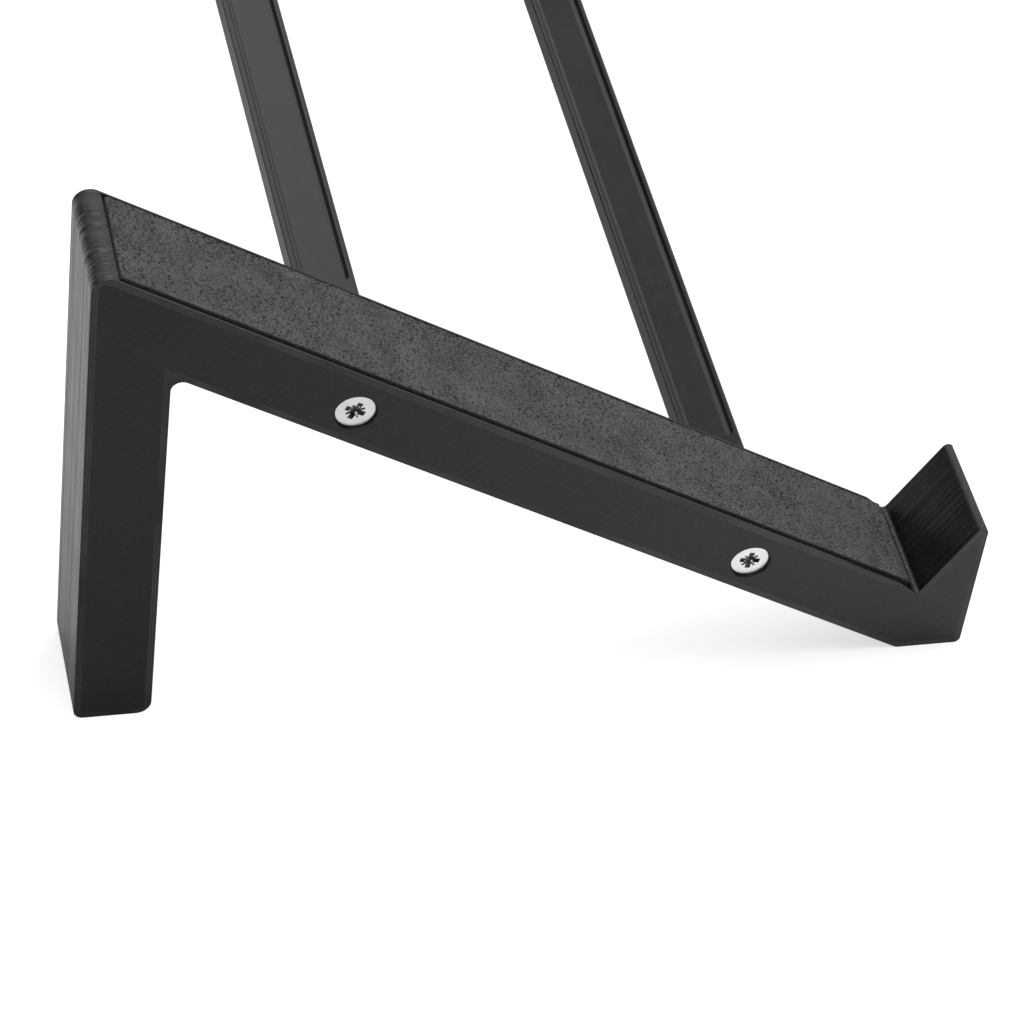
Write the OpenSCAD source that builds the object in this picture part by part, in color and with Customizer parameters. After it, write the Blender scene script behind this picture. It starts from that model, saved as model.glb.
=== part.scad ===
// Photo album stand: two printed side brackets with sloping, padded arms,
// tied together by two crossbars. Each crossbar end takes one countersunk screw.
// Frame: millimetres, +Z up, X across the stand, front lip towards -Y,
// origin on the floor under the middle of the whole stand.

/* [Overall] */
// Width over the two brackets' outer faces
stand_width = 260; // [180:1:420]
// Length of the seat, from the sharp rear top corner down to the lip's inner face
seat_length = 196; // [150:1:260]
// Slope of the seat, in degrees below the horizontal
seat_slope = 30.2; // [22:0.1:36]
// Height of the seat above the floor where it meets the lip
front_height = 16.2; // [14:0.1:20]

/* [Bracket] */
// Thickness of a bracket, across the stand
bracket_t = 24.5; // [16:0.5:40]
// Width of the leg and of the arm, seen from the side
strip_w = 15.1; // [12:0.1:18]
// How far the lip stands above the seat, square to it
lip_h = 19.3; // [10:0.1:30]
// Radius of the lip's rounded tip
lip_tip_r = 1.2; // [0.8:0.05:2]
// Radius of the small fillet where the seat turns up into the lip
lip_root_r = 0.9; // [0.4:0.05:1.2]
// Depth of the dip in the seat at the foot of the lip
root_dip = 1.1; // [0.2:0.1:1.8]
// Length of that dip, along the seat
root_dip_length = 5.5; // [2:0.1:8]
// Radius of the rear top corner
top_corner_r = 3; // [1:0.1:5]
// Radius under the arm, where it leaves the leg
inner_corner_r = 2; // [1:0.1:5]
// Radius of the leg's front lower edge
leg_toe_r = 3; // [1:0.1:5]
// Radius of the leg's rear lower edge
leg_heel_r = 2; // [1:0.1:4]
// Radius of the foot's lower edges
foot_r = 1.3; // [0.6:0.1:2]

/* [Pad] */
// Thickness of the foam pad
pad_t = 2.6; // [1.5:0.1:5]
// Thickness of the adhesive film under the pad
film_t = 0.2; // [0.1:0.05:0.4]
// How far the pad's top lies below the rims beside it
pad_sunk = 0.1; // [0:0.05:0.5]
// Width of the rims left beside the pad
rim_w = 0.45; // [0.4:0.05:2]
// Gap between the pad and the rim on the outer side
pad_gap_outer = 1.05; // [0.2:0.05:1.5]
// Gap between the pad and the rim on the inner side
pad_gap_inner = 0.1; // [0.1:0.05:1]
// Gap at each end of the pad
pad_gap_end = 0.9; // [0.2:0.05:1.5]
// Distance from the sharp rear top corner to the pad's recess
recess_start = 5.8; // [5.2:0.1:12]
// Width of the land between the recess and the lip's inner face
recess_land = 1; // [0.9:0.1:4]

/* [Crossbars] */
// Width of a crossbar, front to back
crossbar_w = 11.6; // [10:0.1:14]
// Height of a crossbar
crossbar_h = 7; // [6.5:0.1:8]
// Radius along a crossbar's two lower edges
crossbar_low_r = 3; // [0.8:0.1:3.4]
// Radius along a crossbar's two upper edges
crossbar_top_r = 0.6; // [0.3:0.05:0.8]
// Depth of the tray in a crossbar's top face
tray_depth = 1.3; // [0.8:0.1:1.6]
// Width of the rims beside the tray
tray_rim = 1.1; // [0.9:0.1:2]
// Solid length left between a bracket and the tray's end
tray_end = 8; // [5:0.5:20]
// Distance along the seat from the sharp rear top corner to the rear crossbar
rear_bar_at = 62.2; // [40:0.1:80]
// Distance along the seat between the two crossbars
bar_spacing = 95.5; // [60:0.5:110]
// Depth of the crossbars' and screws' axes below the seat, square to it
bar_below = 8.3; // [7.5:0.1:9.5]

/* [Screws] */
// Thread diameter of the screws
screw_d = 4; // [3:0.1:4.2]
// Head diameter of the screws
screw_head_d = 7.5; // [6:0.1:8.4]
// Overall length of the screws
screw_length = 45; // [35:1:60]
// Core hole in a crossbar's end
core_hole_d = 3.4; // [2.6:0.1:3.6]
// Extra diameter of the hole through a bracket
screw_play = 0.4; // [0.2:0.05:0.8]
// How far a screw's head lies below the bracket's outer face
head_sunk = 0.7; // [0:0.05:1.5]
// Extra diameter of the counterbore around the sunk head
head_play = 0.7; // [0.2:0.05:1.2]
// Depth of the cross recess
recess_depth = 2.2; // [1.5:0.1:2.6]

/* [Hidden] */
$fn = 96;
eps = 0.02;
over = 1;                                     // overrun of a cut past a face

// Side view, as [distance forward from the leg's back face, height].
rear_height = front_height + seat_length * sin(seat_slope);
seat_dir = [cos(seat_slope), -sin(seat_slope)];
seat_up = [sin(seat_slope), cos(seat_slope)];
function on_seat(along, above) = [0, rear_height] + along * seat_dir + above * seat_up;

tip_centre = on_seat(seat_length + lip_tip_r, lip_h - lip_tip_r);
front_face = tip_centre[0] + lip_tip_r;
stand_depth = front_face;
// The lip's inner face and the upright front face meet above the tip.
lip_apex_above = (front_face - on_seat(seat_length, 0)[0]) / seat_up[0];
underside_height = rear_height - strip_w / cos(seat_slope);   // of the arm, at the leg's back face
foot_start = underside_height / tan(seat_slope);
inner_corner = [strip_w, underside_height - strip_w * tan(seat_slope)];

// Outline corners, anticlockwise: [point, radius]. A radius below zero is a fillet.
outline = [
    [[0, 0], leg_heel_r],
    [[strip_w, 0], leg_toe_r],
    [inner_corner, -inner_corner_r],
    [[foot_start, 0], leg_heel_r],
    [[front_face, 0], foot_r],
    [on_seat(seat_length, lip_apex_above), lip_tip_r],
    [on_seat(seat_length, -root_dip), -lip_root_r],
    [on_seat(seat_length - root_dip_length, 0), 0],
    [[0, rear_height], top_corner_r]
];

crossbar_length = stand_width - 2 * bracket_t;
rear_bar_centre = on_seat(rear_bar_at, -bar_below);
front_bar_centre = on_seat(rear_bar_at + bar_spacing, -bar_below);
tray_length = crossbar_length - 2 * tray_end;
tray_w = crossbar_w - 2 * tray_rim;
tray_r = tray_depth;                          // the tray's sides and ends are quarter rounds

recess_depth_pad = pad_t + film_t + pad_sunk;
recess_length = seat_length - recess_land - recess_start;
pad_length = recess_length - 2 * pad_gap_end;
recess_w = bracket_t - 2 * rim_w;
pad_w = recess_w - pad_gap_outer - pad_gap_inner;

head_h = (screw_head_d - screw_d) / 2;        // a 90 degree countersunk head
sink_d = screw_head_d + head_play;
hole_d = screw_d + screw_play;
screw_tip_h = screw_d;
screw_in_bar = screw_length + head_sunk - bracket_t;
core_hole_depth = screw_in_bar + over;
screw_tip_d = 0.4;
bit_d = 2.3;                                  // round middle of the cross recess, at the top
bit_tip_d = 1.15;                             // and at its bottom
wing_w = 1.1;                                 // the four wings of the cross recess
wing_span = 4.1;
wing_rise = 0.45;                             // how far the wings stop above the bottom
notch_w = 0.5;                                // the four small notches between the wings
notch_span = 3.7;
notch_depth = 0.6;

// How far each screw is turned, in degrees: no two were driven alike.
left_rear_turn = 28;
left_front_turn = 8;
right_rear_turn = 55;
right_front_turn = 17;

body_colour = [0.09, 0.09, 0.1];
bar_colour = [0.13, 0.13, 0.14];
pad_colour = [0.27, 0.27, 0.28];
film_colour = [0.75, 0.7, 0.6];
zinc_colour = [0.82, 0.82, 0.84];

// ---- Rounded outlines -------------------------------------------------------

function unit(v) = v / norm(v);
function corner(list, i) = list[(i + len(list)) % len(list)];
function towards(list, i, step) = unit(corner(list, i + step)[0] - corner(list, i)[0]);
function half_angle(list, i) =
    acos(max(-1, min(1, towards(list, i, -1) * towards(list, i, 1)))) / 2;
function tangent(list, i) = abs(list[i][1]) / tan(half_angle(list, i));
function arc_centre(list, i) = list[i][0]
    + unit(towards(list, i, -1) + towards(list, i, 1)) * abs(list[i][1]) / sin(half_angle(list, i));

// An outline whose corners are true arcs: chords first, then the arcs' own circles.
module rounded(list) {
    chords = [for (i = [0 : len(list) - 1]) each [
        list[i][0] + towards(list, i, -1) * tangent(list, i),
        list[i][0] + towards(list, i, 1) * tangent(list, i)
    ]];
    difference() {
        union() {
            polygon(chords);
            for (i = [0 : len(list) - 1])
                if (list[i][1] > 0) translate(arc_centre(list, i)) circle(list[i][1]);
        }
        for (i = [0 : len(list) - 1])
            if (list[i][1] < 0) translate(arc_centre(list, i)) circle(-list[i][1]);
    }
}

// ---- Placing ----------------------------------------------------------------

// A side view [forward, up] extruded from x = 0 towards +X, put into the stand's frame.
module from_side(thickness) {
    translate([0, stand_depth / 2, 0]) rotate([0, 0, -90]) rotate([90, 0, 0])
        mirror([0, 0, 1]) linear_extrude(thickness) children();
}

// Children drawn with x across, y down the seat and z square to it, placed on the seat.
module on_arm(along, above) {
    at = on_seat(along, above);
    translate([0, stand_depth / 2 - at[0], at[1]]) rotate([seat_slope, 0, 0])
        mirror([0, 1, 0]) children();
}

// Children drawn along +X from a bracket's outer face, at a crossbar's centre.
module at_bar(centre) {
    translate([0, stand_depth / 2 - centre[0], centre[1]]) children();
}

// The left side as drawn, or its mirror image on the right.
module side(left) {
    if (left) translate([-stand_width / 2, 0, 0]) children();
    else mirror([1, 0, 0]) translate([-stand_width / 2, 0, 0]) children();
}

module along_x(d1, d2, length) rotate([0, 90, 0]) cylinder(h = length, d1 = d1, d2 = d2);

// ---- Brackets ---------------------------------------------------------------

module screw_hole() {
    translate([-over, 0, 0]) along_x(hole_d, hole_d, bracket_t + 2 * over);
    translate([-over, 0, 0]) along_x(sink_d, sink_d, head_sunk + over);
    // The seat for the head: a 90 degree cone from the head's rim down to the hole.
    translate([head_sunk, 0, 0])
        along_x(screw_head_d, hole_d, (screw_head_d - hole_d) / 2);
}

module bracket() {
    difference() {
        from_side(bracket_t) rounded(outline);
        on_arm(recess_start, -recess_depth_pad)
            translate([rim_w, 0, 0]) cube([recess_w, recess_length, recess_depth_pad + over]);
        at_bar(rear_bar_centre) screw_hole();
        at_bar(front_bar_centre) screw_hole();
    }
}

module left_bracket() color(body_colour) side(true) bracket();
module right_bracket() color(body_colour) side(false) bracket();

// ---- Pads and the film under them --------------------------------------------

module strip_on_arm(thickness, above) {
    on_arm(recess_start + pad_gap_end, above)
        translate([rim_w + pad_gap_outer, 0, 0]) cube([pad_w, pad_length, thickness]);
}

module left_pad() color(pad_colour) side(true) strip_on_arm(pad_t, -pad_sunk - pad_t);
module right_pad() color(pad_colour) side(false) strip_on_arm(pad_t, -pad_sunk - pad_t);
module left_pad_adhesive() color(film_colour) side(true) strip_on_arm(film_t, -recess_depth_pad);
module right_pad_adhesive() color(film_colour) side(false) strip_on_arm(film_t, -recess_depth_pad);

// ---- Crossbars ----------------------------------------------------------------

// Cross-section [forward, up] about the screw's axis, without the tray.
module crossbar_section() {
    half_w = crossbar_w / 2;
    half_h = crossbar_h / 2;
    rounded([
        [[-half_w, -half_h], crossbar_low_r],
        [[half_w, -half_h], crossbar_low_r],
        [[half_w, half_h], crossbar_top_r],
        [[-half_w, half_h], crossbar_top_r]
    ]);
}

// A shallow tray, rounded like a dish along its sides, across its ends and at its corners.
module tray() {
    floor_l = tray_length - 2 * tray_r;
    floor_w = tray_w - 2 * tray_r;
    translate([-floor_l / 2, -floor_w / 2, crossbar_h / 2 - tray_depth])
        cube([floor_l, floor_w, tray_depth + over]);
    translate([0, 0, crossbar_h / 2]) for (s = [-1, 1]) {
        translate([-floor_l / 2, s * floor_w / 2, 0]) along_x(2 * tray_r, 2 * tray_r, floor_l);
        translate([s * floor_l / 2, floor_w / 2, 0]) rotate([90, 0, 0]) cylinder(h = floor_w, r = tray_r);
        for (t = [-1, 1]) translate([s * floor_l / 2, t * floor_w / 2, 0]) sphere(tray_r);
    }
}

module crossbar(centre) {
    at_bar(centre) difference() {
        translate([-crossbar_length / 2, 0, 0]) rotate([90, 0, 90])
            linear_extrude(crossbar_length) crossbar_section();
        tray();
        for (s = [-1, 1]) translate([s * crossbar_length / 2, 0, 0]) rotate([0, 0, s > 0 ? 180 : 0])
            translate([-over, 0, 0]) along_x(core_hole_d, core_hole_d, core_hole_depth + over);
    }
}

module rear_crossbar() color(bar_colour) crossbar(rear_bar_centre);
module front_crossbar() color(bar_colour) crossbar(front_bar_centre);

// ---- Screws -------------------------------------------------------------------

module cross_recess() {
    translate([-over, 0, 0]) along_x(bit_d, bit_tip_d, recess_depth + over);
    for (turn = [0, 90]) rotate([turn, 0, 0])
        translate([-over, -wing_span / 2, -wing_w / 2])
            cube([recess_depth - wing_rise + over, wing_span, wing_w]);
    for (turn = [45, 135]) rotate([turn, 0, 0])
        translate([-over, -notch_span / 2, -notch_w / 2])
            cube([notch_depth + over, notch_span, notch_w]);
}

module screw(centre, turn) {
    at_bar(centre) translate([head_sunk, 0, 0]) rotate([turn, 0, 0]) difference() {
        union() {
            along_x(screw_head_d, screw_d, head_h);
            translate([head_h - eps, 0, 0])
                along_x(screw_d, screw_d, screw_length - head_h - screw_tip_h + 2 * eps);
            translate([screw_length - screw_tip_h, 0, 0])
                along_x(screw_d, screw_tip_d, screw_tip_h);
        }
        cross_recess();
    }
}

module left_rear_screw() color(zinc_colour) side(true) screw(rear_bar_centre, left_rear_turn);
module left_front_screw() color(zinc_colour) side(true) screw(front_bar_centre, left_front_turn);
module right_rear_screw() color(zinc_colour) side(false) screw(rear_bar_centre, right_rear_turn);
module right_front_screw() color(zinc_colour) side(false) screw(front_bar_centre, right_front_turn);

left_bracket();
right_bracket();
left_pad();
right_pad();
left_pad_adhesive();
right_pad_adhesive();
rear_crossbar();
front_crossbar();
left_rear_screw();
left_front_screw();
right_rear_screw();
right_front_screw();
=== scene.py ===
# %% [markdown]
# # Photo album stand
# Two printed side brackets with sloping arms hold an open album on foam pads. Two printed crossbars tie the
# brackets together, and each crossbar end takes one countersunk screw. The frame below is the finished
# mechanical design: its brackets, crossbars and screws keep their shapes, and this lesson gives them edges,
# print lines, foam and plating, and then lights and frames them.

# %% Load the frame
import math

import bpy
from mathutils import Matrix, Vector, noise


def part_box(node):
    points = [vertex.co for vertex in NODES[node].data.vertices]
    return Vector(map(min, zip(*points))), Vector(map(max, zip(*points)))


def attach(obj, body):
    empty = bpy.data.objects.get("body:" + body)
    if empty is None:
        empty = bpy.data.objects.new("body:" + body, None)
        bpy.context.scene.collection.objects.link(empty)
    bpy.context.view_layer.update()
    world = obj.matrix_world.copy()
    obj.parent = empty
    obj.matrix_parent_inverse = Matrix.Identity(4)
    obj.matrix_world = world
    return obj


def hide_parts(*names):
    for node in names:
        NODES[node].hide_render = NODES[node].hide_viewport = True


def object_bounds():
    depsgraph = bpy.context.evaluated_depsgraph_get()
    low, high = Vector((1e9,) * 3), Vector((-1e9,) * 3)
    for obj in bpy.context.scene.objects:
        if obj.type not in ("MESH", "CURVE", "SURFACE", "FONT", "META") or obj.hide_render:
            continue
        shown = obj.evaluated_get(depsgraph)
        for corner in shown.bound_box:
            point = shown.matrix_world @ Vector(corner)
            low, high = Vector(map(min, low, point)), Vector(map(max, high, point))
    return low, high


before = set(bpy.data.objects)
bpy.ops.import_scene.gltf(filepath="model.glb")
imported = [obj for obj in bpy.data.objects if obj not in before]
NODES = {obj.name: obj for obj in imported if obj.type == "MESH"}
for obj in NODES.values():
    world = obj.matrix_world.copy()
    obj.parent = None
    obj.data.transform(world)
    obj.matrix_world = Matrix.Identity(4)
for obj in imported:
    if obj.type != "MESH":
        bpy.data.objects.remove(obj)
CAD_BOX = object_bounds()
print("nodes:", ", ".join(sorted(NODES)))
print("box:", [tuple(round(v, 4) for v in corner) for corner in CAD_BOX])

# %% [markdown]
# ## The camera
# Looking at small things from well above and far away keeps their parallel edges nearly parallel. A long
# lens from three quarters of a metre does this, tipped down by 44 degrees. The camera is also rolled a
# little about its own axis, which lets the arm run down across the picture.

# %% Place the camera
MM = 0.001
VIEW_AZIMUTH = 251.8          # 0 looks along +Y, 90 looks along -X
VIEW_ELEVATION = 44.2
VIEW_ROLL = 8.5
VIEW_DISTANCE = 0.75
LENS = 137.5                  # millimetres
SENSOR = 36                   # millimetres across

left_low, left_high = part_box("left_bracket")
left_middle = (left_low + left_high) / 2
LOOK_AT = left_middle + Vector((-5.6, 6.2, -15.5)) * MM


def from_view(azimuth, elevation):
    """The direction in which a camera at this azimuth and elevation looks."""
    turn = math.radians(azimuth)
    tip = math.radians(elevation)
    return Vector((-math.sin(turn) * math.cos(tip), math.cos(turn) * math.cos(tip), -math.sin(tip)))


def place_camera():
    data = bpy.data.cameras.new("studio_camera")
    data.lens = LENS
    data.sensor_width = SENSOR
    data.clip_start = 0.01
    data.clip_end = 50
    camera = bpy.data.objects.new("studio_camera", data)
    bpy.context.scene.collection.objects.link(camera)
    looking = from_view(VIEW_AZIMUTH, VIEW_ELEVATION)
    aimed = looking.to_track_quat("-Z", "Y").to_matrix().to_4x4()
    rolled = aimed @ Matrix.Rotation(math.radians(VIEW_ROLL), 4, "Z")
    camera.matrix_world = Matrix.Translation(LOOK_AT - looking * VIEW_DISTANCE) @ rolled
    bpy.context.scene.camera = camera
    return camera


camera = place_camera()
print("camera at", [round(v, 4) for v in camera.location])

# %% [markdown]
# ## The studio
# A dark, satin object shows mostly what it reflects, so the light matters more than the colour:
#
# - a big soft light overhead and a weak one at the left light the foam;
# - a wide one at the right shows in the rear crossbar and the rounded top corner, and ends just before the
#   place that the front crossbar reflects, which stays darker;
# - the horizon is bright ahead of the right front corner, which draws light lines along the rims;
# - the paper floor's painted light and shade, paler in front and darker between the brackets, shows in the
#   outer faces and in the back of the leg.
#
# To the camera itself the floor and the world are white, like a paper sweep.

# %% Build the floor, the lights and the world
FLOOR_SIZE = 6.0
WHITE = 1.20                  # painted light tone and glow of the paper together, for the camera
# Name, place, size, power and the height on the middle axis that it is aimed at, in metres and watts.
SOFTBOXES = [
    ("overhead_softbox", (0.1, -0.35, 1.5), (1.5, 1.5), 20.5, 0.0),
    ("right_softbox", (1.5, 0.553, 1.29), (2.1, 1.2), 7.6, 0.05),
    ("left_softbox", (-1.3, 0.5, 0.8), (0.9, 0.9), 4.5, 0.04),
]


def deselect():
    for thing in bpy.context.selected_objects:
        thing.select_set(False)


def soft_light(name, location, size, power, height):
    data = bpy.data.lights.new(name, "AREA")
    data.shape = "RECTANGLE"
    data.size = size[0]
    data.size_y = size[1]
    data.energy = power
    light = bpy.data.objects.new(name, data)
    bpy.context.scene.collection.objects.link(light)
    light.location = location
    towards = Vector((0, 0, height)) - Vector(location)
    light.rotation_euler = towards.to_track_quat("-Z", "Y").to_euler()
    return light


class Socket:
    """One output of a node, or a number, with the usual operators."""

    def __init__(self, graph, value):
        self.graph = graph
        self.value = value

    def _math(self, operation, *others):
        values = [self] + list(others)
        return self.graph.node("Math", {"operation": operation}, dict(enumerate(values)))

    def __add__(self, other):
        return self._math("ADD", other)

    __radd__ = __add__

    def __sub__(self, other):
        return self._math("SUBTRACT", other)

    def __rsub__(self, other):
        return self.graph.node("Math", {"operation": "SUBTRACT"}, {0: other, 1: self})

    def __mul__(self, other):
        return self._math("MULTIPLY", other)

    __rmul__ = __mul__

    def __neg__(self):
        return self * -1.0

    def smaller(self, other):
        return self._math("MINIMUM", other)

    def larger(self, other):
        return self._math("MAXIMUM", other)

    def soft_smaller(self, other, blend):
        return self._math("SMOOTH_MIN", other, blend)

    def size(self):
        return self._math("ABSOLUTE")

    def wave(self):
        return self._math("SINE")

    def ramp(self, low, high, start=0.0, end=1.0):
        """Goes smoothly from start at low to end at high, and stays there."""
        return self.graph.node(
            "MapRange", {"interpolation_type": "SMOOTHSTEP"},
            {"Value": self, "From Min": low, "From Max": high, "To Min": start, "To Max": end}, "Result")


class Graph:
    """A material's or a world's nodes."""

    def __init__(self, owner):
        owner.use_nodes = True
        self.tree = owner.node_tree
        self.tree.nodes.clear()

    def node(self, kind, settings=None, sockets=None, output=0):
        made = self.tree.nodes.new("ShaderNode" + kind)
        for name, value in (settings or {}).items():
            setattr(made, name, value)
        for name, value in (sockets or {}).items():
            target = made.inputs[name]
            if isinstance(value, Socket):
                self.tree.links.new(value.value, target)
            else:
                target.default_value = value
        return Socket(self, made.outputs[output])

    def mix(self, factor, a, b):
        """A colour between a and b."""
        return self.node("Mix", {"data_type": "RGBA"}, {0: factor, 6: a, 7: b}, 2)

    def noise(self, vector, scale, detail=2.0, roughness=0.5):
        """Noise around 0, from about -0.5 to 0.5."""
        made = self.node(
            "TexNoise", {},
            {"Vector": vector, "Scale": scale, "Detail": detail, "Roughness": roughness}, "Fac")
        return made - 0.5

    def axis(self, vector, letter):
        return self.node("SeparateXYZ", {}, {0: vector}, letter)

    def scaled(self, vector, scale, turn=(0.0, 0.0, 0.0)):
        return self.node("Mapping", {}, {"Vector": vector, "Scale": scale, "Rotation": turn})

    def bump(self, height, distance, strength=1.0, normal=None):
        sockets = {"Height": height, "Distance": distance, "Strength": strength}
        if normal is not None:
            sockets["Normal"] = normal
        return self.node("Bump", {}, sockets)

    def finish(self, shader, target="OutputMaterial"):
        out = self.tree.nodes.new("ShaderNode" + target)
        self.tree.links.new(shader.value, out.inputs["Surface"])


def grey(level):
    return (level, level, level, 1.0)


def paper_floor():
    """Pale paper, painted with light and shade that show in the plastic's reflections. To the camera it
    also glows by what that painted tone lacks, so that all of it looks white and only contact shadows show."""
    material = bpy.data.materials.new("paper_floor")
    graph = Graph(material)
    place = graph.node("TexCoord", {}, {}, "Object")
    x = graph.axis(place, "X")
    y = graph.axis(place, "Y")
    # Painted light and shade: left of the stand the paper is painted paler towards the front, where more
    # light falls.
    # Between the brackets it is painted darker than behind them, as shade. A little random tone is added.
    painted_front_light = (-y).ramp(-0.08, 0.09, 0.48, 0.80)
    # Painted shade between the brackets.
    inside = y.ramp(0.07, 0.10, 0.30, 0.76)
    side = x.ramp(-0.14, -0.11)
    painted_light_tone = painted_front_light * (1.0 - side) + inside * side + graph.noise(place, 3.0) * 0.03
    colour = graph.node("CombineColor", {}, {0: painted_light_tone, 1: painted_light_tone, 2: painted_light_tone})
    seen = graph.node("LightPath", {}, {}, "Is Camera Ray")
    lack = (WHITE - painted_light_tone) * seen
    glow = graph.node("CombineColor", {}, {0: lack, 1: lack, 2: lack})
    graph.finish(graph.node("BsdfPrincipled", {}, {
        "Base Color": colour, "Roughness": 0.9, "Specular IOR Level": 0.1,
        "Emission Color": glow, "Emission Strength": 1.0}))
    return material


def build_studio():
    deselect()
    bpy.ops.mesh.primitive_plane_add(size=FLOOR_SIZE, location=(0, 0, 0))
    floor = bpy.context.object
    floor.name = "paper_floor"
    floor.data.materials.append(paper_floor())
    for softbox in SOFTBOXES:
        soft_light(*softbox)
    world = bpy.data.worlds.new("studio_world")
    bpy.context.scene.world = world
    graph = Graph(world)
    seen = graph.node("LightPath", {}, {}, "Is Camera Ray")
    ray = graph.node("TexCoord", {}, {}, "Generated")
    up = graph.axis(ray, "Z")
    ahead = graph.node(
        "VectorMath", {"operation": "DOT_PRODUCT"}, {0: ray, 1: (0.70, -0.70, 0.10)}, "Value")
    glow = up.ramp(0.02, 0.7, 0.2, 0.5) + ahead.ramp(0.68, 1.0, 0.0, 0.75)
    dim = graph.node("Background", {}, {"Color": grey(1.0), "Strength": glow}, "Background")
    pale = graph.node("Background", {}, {"Color": grey(1.0), "Strength": 1.0}, "Background")
    shader = graph.node("MixShader", {}, {0: seen, 1: dim, 2: pale})
    graph.finish(shader, "OutputWorld")
    view = bpy.context.scene.view_settings
    view.view_transform = "Standard"
    view.look = "None"
    return floor


floor = build_studio()
print("studio built")

# %% [markdown]
# ## Driving sizes
# The bracket is a strip bent into a leg and an arm that slopes down to a lip. Its few driving sizes,
# together with the frame's own boxes, give every other place in this lesson.

# %% Sizes of the bracket and its seat
SEAT_SLOPE = math.radians(30.2)
STRIP = 15.1 * MM             # width of leg and arm, seen from the side
TOP_CORNER = 3 * MM           # radius of the rear top corner
LIP_TIP = 1.2 * MM            # radius of the lip's tip
LIP_HEIGHT = 19.3 * MM

cad_low, cad_high = CAD_BOX
back_y = cad_high[1]
depth = cad_high[1] - cad_low[1]
rise = math.tan(SEAT_SLOPE) + 1 / math.cos(SEAT_SLOPE) - 1
REAR_HEIGHT = cad_high[2] + TOP_CORNER * rise          # of the seat's sharp rear corner
lip_lean = (LIP_HEIGHT - LIP_TIP) * math.sin(SEAT_SLOPE)
SEAT_LENGTH = (depth - LIP_TIP - lip_lean) / math.cos(SEAT_SLOPE) - LIP_TIP
print(f"seat: {SEAT_LENGTH / MM:.2f} mm long, {REAR_HEIGHT / MM:.2f} mm high at the rear")

# %% [markdown]
# ## Printed plastic
# The brackets were printed lying on their outer faces, so each layer is a slice at one distance across
# the stand, and every edge face shows those slices as fine lines. The flat outer face shows the nozzle's
# path instead: a few lines that follow the outline, then faint diagonal infill. Stretched noises and the
# distance to the outline give both, because real print lines never repeat exactly.

# %% Print lines of a bracket
LINE = 0.5 * MM               # spacing of the nozzle's lines
OUTLINE_BAND = (1.1 * MM, 1.6 * MM)   # where the lines along the outline fade into the infill
CORNER_BLEND = 4 * MM         # how far those lines round off the rear top corner
SOFT_EDGE = 0.25 * MM         # a printed edge is never quite sharp
PLASTIC_IOR = 1.44
PAINTED_HIGHLIGHT = 0.05                  # grey of the painted highlight where print lines catch the light on the dark plastic
DUST = 0.03                   # grey of dust


def outline_distance(y, z):
    """How far a point lies inside the bracket's outline, seen from the side."""
    forward = back_y - y
    below_seat = (REAR_HEIGHT - forward * math.tan(SEAT_SLOPE) - z) * math.cos(SEAT_SLOPE)
    along = forward * math.cos(SEAT_SLOPE) - (z - REAR_HEIGHT) * math.sin(SEAT_SLOPE)
    arm_or_lip = below_seat.larger(along - SEAT_LENGTH)
    # The open triangle under the arm: in front of the leg and below the arm.
    open_triangle = (STRIP - forward).larger(STRIP - below_seat)
    ends = z.smaller(depth - forward)
    corner = forward.soft_smaller(arm_or_lip, CORNER_BLEND)
    return corner.smaller(ends).smaller(open_triangle)


def printed_plastic(name, lines, low, high, roughness):
    """Dark plastic, from grey low to grey high. lines(graph, place) gives the height of its print lines,
    in metres, and how much of them gets a painted highlight where they catch the light, from 0 to 1."""
    material = bpy.data.materials.new(name)
    graph = Graph(material)
    place = graph.node("TexCoord", {}, {}, "Object")
    height, lit = lines(graph, place)
    cloud = graph.noise(place, 90.0, 3.0)
    grain = graph.noise(place, 1100.0, 2.0, 0.7)
    dust = graph.noise(place, 1400.0, 2.0).ramp(0.17, 0.26)
    colour = graph.mix((cloud * 0.4 + grain).ramp(-0.3, 0.3), grey(low), grey(high))
    # Painted highlight: print lines that catch the light are painted lighter.
    colour = graph.mix(lit, colour, grey(PAINTED_HIGHLIGHT))
    colour = graph.mix(dust * 0.2, colour, grey(DUST))
    rough = roughness + cloud * 0.12 + dust * 0.1
    soft_edge = graph.node("Bevel", {"samples": 4}, {"Radius": SOFT_EDGE})
    normal = graph.bump(height, 1.0, normal=soft_edge)
    graph.finish(graph.node("BsdfPrincipled", {}, {
        "Base Color": colour, "Roughness": rough, "IOR": PLASTIC_IOR, "Normal": normal}))
    return material


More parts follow.
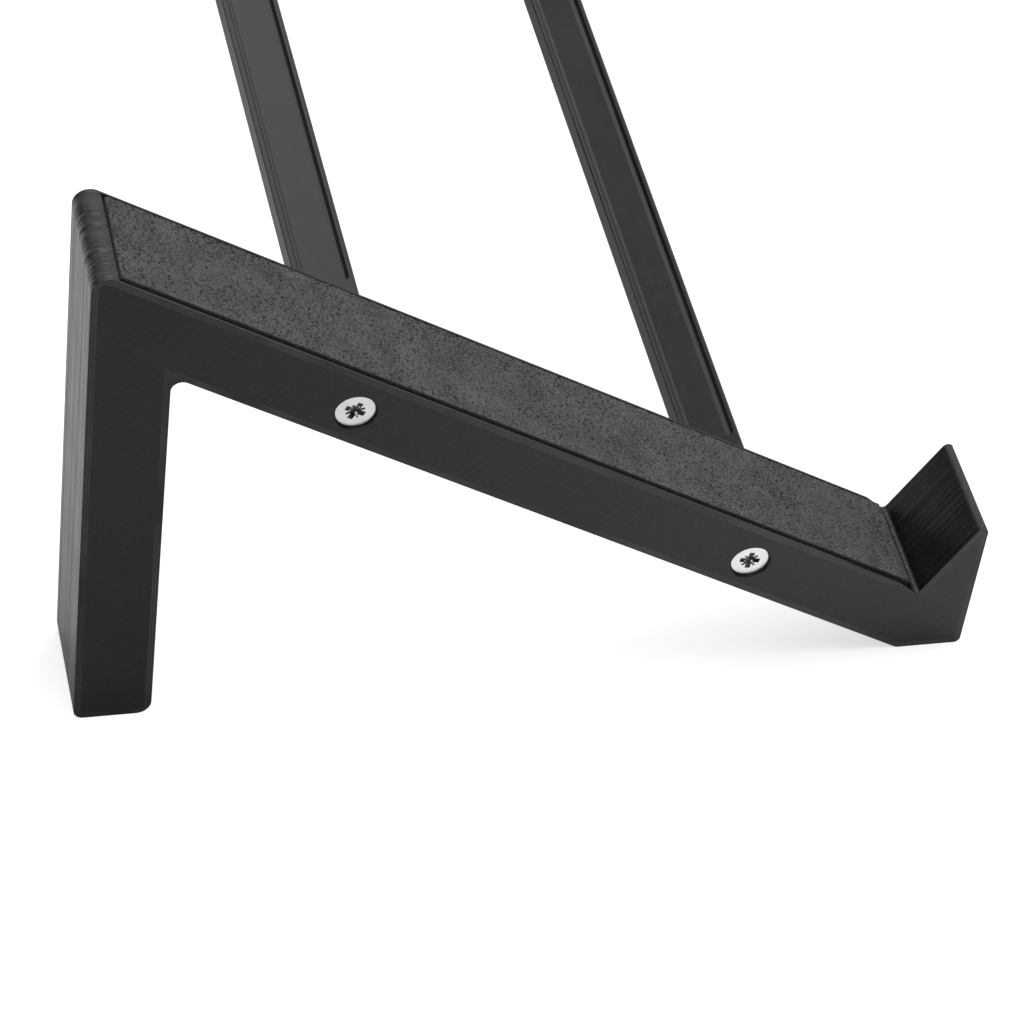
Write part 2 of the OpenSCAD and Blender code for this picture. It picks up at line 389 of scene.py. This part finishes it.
def bracket_lines(graph, place):
    """Layers on a bracket's edge faces, and the nozzle's path on its flat faces, with a painted highlight
    on both.
    """
    normal = graph.node("NewGeometry", {}, {}, "True Normal")
    side_on = graph.axis(normal, "X").size().ramp(0.6, 0.9)
    edge_on = 1.0 - side_on
    back = graph.axis(normal, "Y").ramp(0.9, 0.98)
    y = graph.axis(place, "Y")
    z = graph.axis(place, "Z")
    # Layers change across the stand only. The leg's back is the most uneven, and the lip the least.
    broad = graph.noise(graph.scaled(place, (210.0, 4.0, 4.0)), 1.0, 1.0)
    band = graph.noise(graph.scaled(place, (480.0, 6.0, 6.0)), 1.0, 1.0)
    wide = graph.noise(graph.scaled(place, (1000.0, 12.0, 12.0)), 1.0, 2.0)
    fine = graph.noise(graph.scaled(place, (4600.0, 40.0, 40.0)), 1.0, 1.0)
    wobble = graph.noise(place, 260.0, 2.0)
    coarse = broad * (0.2 + back * 0.9) * MM + band * 0.3 * MM
    calm = y.ramp(-0.07, -0.05, 0.45, 1.0)
    layers = coarse + wide * calm * 0.45 * MM + fine * 0.03 * MM + wobble * 0.05 * MM
    # Painted highlight: lighter streaks along the layers on the edge faces, weaker at the lip.
    painted_streaks = edge_on * calm * wide.ramp(-0.1, 0.25) * 0.2
    # Outline lines and diagonal infill.
    inside = outline_distance(y, z)
    near = 1.0 - inside.ramp(*OUTLINE_BAND)
    ripple = (inside * (math.tau / LINE)).wave()
    follow = ripple * near * 0.012 * MM
    across = (y + z) * math.sqrt(0.5)
    diagonal = graph.node("CombineXYZ", {}, {0: across * 1500.0, 1: (y - z) * 60.0, 2: 0.0})
    infill = graph.noise(diagonal, 1.0, 1.0) * (1.0 - near) * 0.05 * MM
    face = follow + infill + graph.noise(place, 500.0, 2.0) * 0.02 * MM
    # Painted highlight: the lines along the outline on the flat faces, in patches.
    lit = near * side_on * (0.5 + ripple * 0.45) * graph.noise(place, 60.0).ramp(-0.25, 0.2)
    return layers * edge_on + face * side_on, lit + painted_streaks


def crossbar_lines(graph, place):
    """A crossbar was printed flat, so its lines run along it. The wider ones get a painted highlight."""
    wide = graph.noise(graph.scaled(place, (12.0, 1300.0, 1300.0)), 1.0, 2.0)
    grain = graph.noise(place, 900.0, 2.0)
    # Painted highlight: the wider lines are painted a little lighter.
    return wide * 0.02 * MM + grain * 0.012 * MM, wide.ramp(0.12, 0.3) * 0.08


bracket_plastic = printed_plastic("printed_bracket", bracket_lines, 0.0005, 0.007, 0.34)
crossbar_plastic = printed_plastic("printed_crossbar", crossbar_lines, 0.006, 0.010, 0.15)

# %% [markdown]
# ## Zinc plate and film
# The screws are bright zinc over steel. Plating is nearly white in soft light, with faint turning marks and
# a little dullness in patches, and the cross recess is painted dark as shade. The adhesive film under a pad
# hardly shows, and is a plain waxy layer.

# %% Screw and film finishes


def zinc_plate():
    material = bpy.data.materials.new("zinc_screw")
    graph = Graph(material)
    place = graph.node("TexCoord", {}, {}, "Object")
    patch = graph.noise(place, 700.0, 3.0)
    bright = graph.mix(patch.ramp(-0.3, 0.3), (0.86, 0.87, 0.89, 1.0), (0.98, 0.98, 0.98, 1.0))
    # Painted shade: every face that doesn't look along the screw, the walls of the cross recess among them,
    # is painted dark, while the head's face stays bright.
    normal = graph.node("NewGeometry", {}, {}, "True Normal")
    face = graph.axis(normal, "X").size().ramp(0.85, 0.97)
    tint = graph.mix(face, (0.24, 0.24, 0.25, 1.0), bright)
    rough = 0.3 + patch * 0.16
    marks = graph.noise(graph.scaled(place, (600.0, 3500.0, 3500.0)), 1.0, 1.0)
    normal = graph.bump(marks, 0.012 * MM)
    graph.finish(graph.node("BsdfPrincipled", {}, {
        "Base Color": tint, "Metallic": 1.0, "Roughness": rough, "Normal": normal}))
    return material


def waxy_film():
    material = bpy.data.materials.new("adhesive_film")
    graph = Graph(material)
    place = graph.node("TexCoord", {}, {}, "Object")
    cloud = graph.noise(place, 400.0, 3.0)
    tint = graph.mix(cloud.ramp(-0.3, 0.3), (0.5, 0.47, 0.38, 1.0), (0.6, 0.57, 0.48, 1.0))
    graph.finish(graph.node("BsdfPrincipled", {}, {
        "Base Color": tint, "Roughness": 0.45 + cloud * 0.2, "Normal": graph.bump(cloud, 0.02 * MM)}))
    return material


zinc = zinc_plate()
film = waxy_film()


def give(node_names, material):
    for node_name in node_names:
        mesh = NODES[node_name].data
        mesh.materials.clear()
        mesh.materials.append(material)
    print(material.name, "on", ", ".join(node_names))


give(["left_bracket", "right_bracket"], bracket_plastic)
give(["rear_crossbar", "front_crossbar"], crossbar_plastic)
give([name for name in sorted(NODES) if name.endswith("_screw")], zinc)
give(["left_pad_adhesive", "right_pad_adhesive"], film)

# %% [markdown]
# ## The foam pads
# Each pad is a strip of dark cellular rubber foam, cut from a sheet. Its top skin was sliced through the
# cells, so it is full of small torn pits that are a little longer along the strip, and its outer cut edge
# is slightly fuzzy and soft. A strip this thin doesn't swell like a cushion, so it is sculpted: a fine
# sheet of faces is given soft edges, a slight crown and real pits, then closed below.

# %% Foam finish


def foam():
    material = bpy.data.materials.new("foam_pad")
    graph = Graph(material)
    place = graph.node("TexCoord", {}, {}, "Object")
    pit = graph.node("Attribute", {"attribute_name": "pit"}, {}, "Fac")
    # The cells lie a little longer down the seat, so the grain is turned with it and stretched.
    level = graph.scaled(place, (1.0, 1.0, 1.0), (-SEAT_SLOPE, 0.0, 0.0))
    cells = graph.noise(graph.scaled(level, (3000.0, 1700.0, 3000.0)), 1.0, 2.0, 0.7)
    cloud = graph.noise(place, 160.0, 3.0)
    skin = graph.mix((cells + cloud * 0.35).ramp(-0.22, 0.24), grey(0.022), grey(0.098))
    # Painted shade: the pits, the outer cut edge and the ends are painted near black.
    colour = graph.mix(pit.ramp(0.1, 0.8), skin, grey(0.008))
    speck = graph.noise(place, 1900.0, 1.0).ramp(0.25, 0.29)
    colour = graph.mix(speck * 0.6, colour, grey(0.3))
    normal = graph.bump(cells, 0.16 * MM)
    graph.finish(graph.node("BsdfPrincipled", {}, {
        "Base Color": colour, "Roughness": 0.85 + cloud * 0.1, "Specular IOR Level": 0.3,
        "Normal": normal}))
    return material


# %% Foam strip
FOAM_STEP = 0.21 * MM         # size of one face of the foam's skin
EDGE_RADIUS = 0.4 * MM        # rounding of the cut edges
CLEAN_CUT = 0.4 * MM          # how much of that rounding the inner edge goes without
CROWN = 0.03 * MM             # how much the middle stands above the edges
PIT_DEPTH = 0.24 * MM
FUZZ = 0.07 * MM              # unevenness of the outer cut edge
LUMP = 0.05 * MM
PAINTED_EDGE_SHADE = (0.4 * MM, 0.65 * MM)     # where the outer edge's painted shade fades out
PAINTED_END_SHADE = (0.02 * MM, 0.2 * MM)      # where the ends' painted shade fades out


def strip_size(node):
    """Width, length and thickness of a block that lies on the seat, from its box."""
    low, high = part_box(node)
    across, ahead, up = high - low
    spread = math.cos(2 * SEAT_SLOPE)
    length = (ahead * math.cos(SEAT_SLOPE) - up * math.sin(SEAT_SLOPE)) / spread
    thickness = (up * math.cos(SEAT_SLOPE) - ahead * math.sin(SEAT_SLOPE)) / spread
    return across, length, thickness


def soft_step(value, low, high):
    share = min(max((value - low) / (high - low), 0.0), 1.0)
    return share * share * (3 - 2 * share)


def pit_at(x, y):
    """How deep the foam is torn at a place, from 0 to 1. Pits are longer along the strip."""
    large = noise.noise(Vector((x / (0.46 * MM), y / (0.66 * MM), 3.1)))
    small = noise.noise(Vector((x / (0.32 * MM), y / (0.42 * MM), 8.7)))
    patch = noise.noise(Vector((x / (9 * MM), y / (14 * MM), 1.3)))
    torn = soft_step(large + 0.12 * patch, 0.34, 0.52)
    pinhole = 0.9 * soft_step(small + 0.10 * patch, 0.30, 0.50)
    return max(torn, pinhole)


def sculpt_foam(mesh, width, length, thickness):
    """Gives a flat sheet of faces soft edges, a crown, fuzz and torn pits, and stores the painted shade of
    the pits and cut edges.
    """
    painted_shade = []
    for vertex in mesh.vertices:
        x, y, _ = vertex.co
        near_edge = width / 2 + x
        end = length / 2 - abs(y)
        to_edge = min(near_edge, end, width / 2 - x + CLEAN_CUT)
        drop = 0.0
        if to_edge < EDGE_RADIUS:
            reach = EDGE_RADIUS - to_edge
            drop = EDGE_RADIUS - math.sqrt(max(EDGE_RADIUS ** 2 - reach ** 2, 0.0))
        crown = CROWN * (1 - (2 * x / width) ** 2)
        lump = LUMP * noise.noise(Vector((x / (2.5 * MM), y / (3.5 * MM), 0.4)))
        pit = pit_at(x, y)
        vertex.co.z = thickness / 2 - CROWN + crown - drop + lump - pit * PIT_DEPTH
        if near_edge < 2 * EDGE_RADIUS:
            vertex.co.x -= FUZZ * (noise.noise(Vector((x, y, 0.0)) / (0.5 * MM)) - 0.4)
        # Painted shade: the outer cut side is painted as dark as a pit and the ends half as dark, for the
        # shade in the gaps beside the pad.
        side = 1.0 - soft_step(near_edge, *PAINTED_EDGE_SHADE)
        end_shade = 0.5 - 0.5 * soft_step(end, *PAINTED_END_SHADE)
        painted_shade.append(max(pit, side, end_shade))
    # The pit attribute carries the painted shade of the pits, the outer edge and the ends.
    attribute = mesh.attributes.new("pit", "FLOAT", "POINT")
    attribute.data.foreach_set("value", painted_shade)
    return sum(painted_shade) / len(painted_shade)


def make_foam_strip(name, node):
    width, length, thickness = strip_size(node)
    deselect()
    bpy.ops.mesh.primitive_grid_add(
        x_subdivisions=round(width / FOAM_STEP), y_subdivisions=round(length / FOAM_STEP), size=1)
    strip = bpy.context.object
    strip.name = name
    strip.data.name = name
    strip.data.transform(Matrix.Diagonal((width, length, 1, 1)))
    torn = sculpt_foam(strip.data, width, length, thickness)
    bpy.ops.object.mode_set(mode="EDIT")
    bpy.ops.mesh.select_mode(type="EDGE")
    bpy.ops.mesh.select_all(action="DESELECT")
    bpy.ops.mesh.select_non_manifold(use_boundary=True)
    bpy.ops.mesh.extrude_edges_move(TRANSFORM_OT_translate={"value": (0, 0, -thickness / 2)})
    bpy.ops.mesh.extrude_edges_move(TRANSFORM_OT_translate={"value": (0, 0, -thickness / 2)})
    bpy.ops.mesh.edge_face_add()
    bpy.ops.object.mode_set(mode="OBJECT")
    for vertex in strip.data.vertices:
        vertex.co.z = max(vertex.co.z, -thickness / 2)
    print(f"{name}: {width / MM:.1f} x {length / MM:.1f} x {thickness / MM:.1f} mm, {torn:.0%} torn")
    return strip


foam_skin = foam()
left_foam = make_foam_strip("left_foam_strip", "left_pad")
left_foam.data.materials.append(foam_skin)


def lay_on_arm(strip, node):
    """Turns the strip onto the seat and moves it to the middle of its node's box."""
    low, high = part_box(node)
    turn = Matrix.Rotation(SEAT_SLOPE, 4, "X")
    strip.data.transform(Matrix.Translation((low + high) / 2) @ turn)
    strip.data.update()


def close_strip(strip):
    """Merges doubles and turns all faces outwards."""
    deselect()
    strip.select_set(True)
    bpy.context.view_layer.objects.active = strip
    bpy.ops.object.mode_set(mode="EDIT")
    bpy.ops.mesh.select_all(action="SELECT")
    bpy.ops.mesh.remove_doubles(threshold=0.001 * MM)
    bpy.ops.mesh.normals_make_consistent(inside=False)
    bpy.ops.object.mode_set(mode="OBJECT")
    bpy.ops.object.shade_smooth_by_angle(angle=math.radians(50))


def declare_foam(strip, node):
    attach(strip, "root")
    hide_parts(node)
    print(strip.name, "has", len(strip.data.polygons), "faces")


close_strip(left_foam)
right_foam = bpy.data.objects.new("right_foam_strip", left_foam.data.copy())
right_foam.data.name = "right_foam_strip"
bpy.context.scene.collection.objects.link(right_foam)
# The right arm is the left one's mirror image, so its foam is turned end for end to look different.
right_foam.data.transform(Matrix.Rotation(math.pi, 4, "Z"))
for strip, node in ((left_foam, "left_pad"), (right_foam, "right_pad")):
    lay_on_arm(strip, node)
    declare_foam(strip, node)
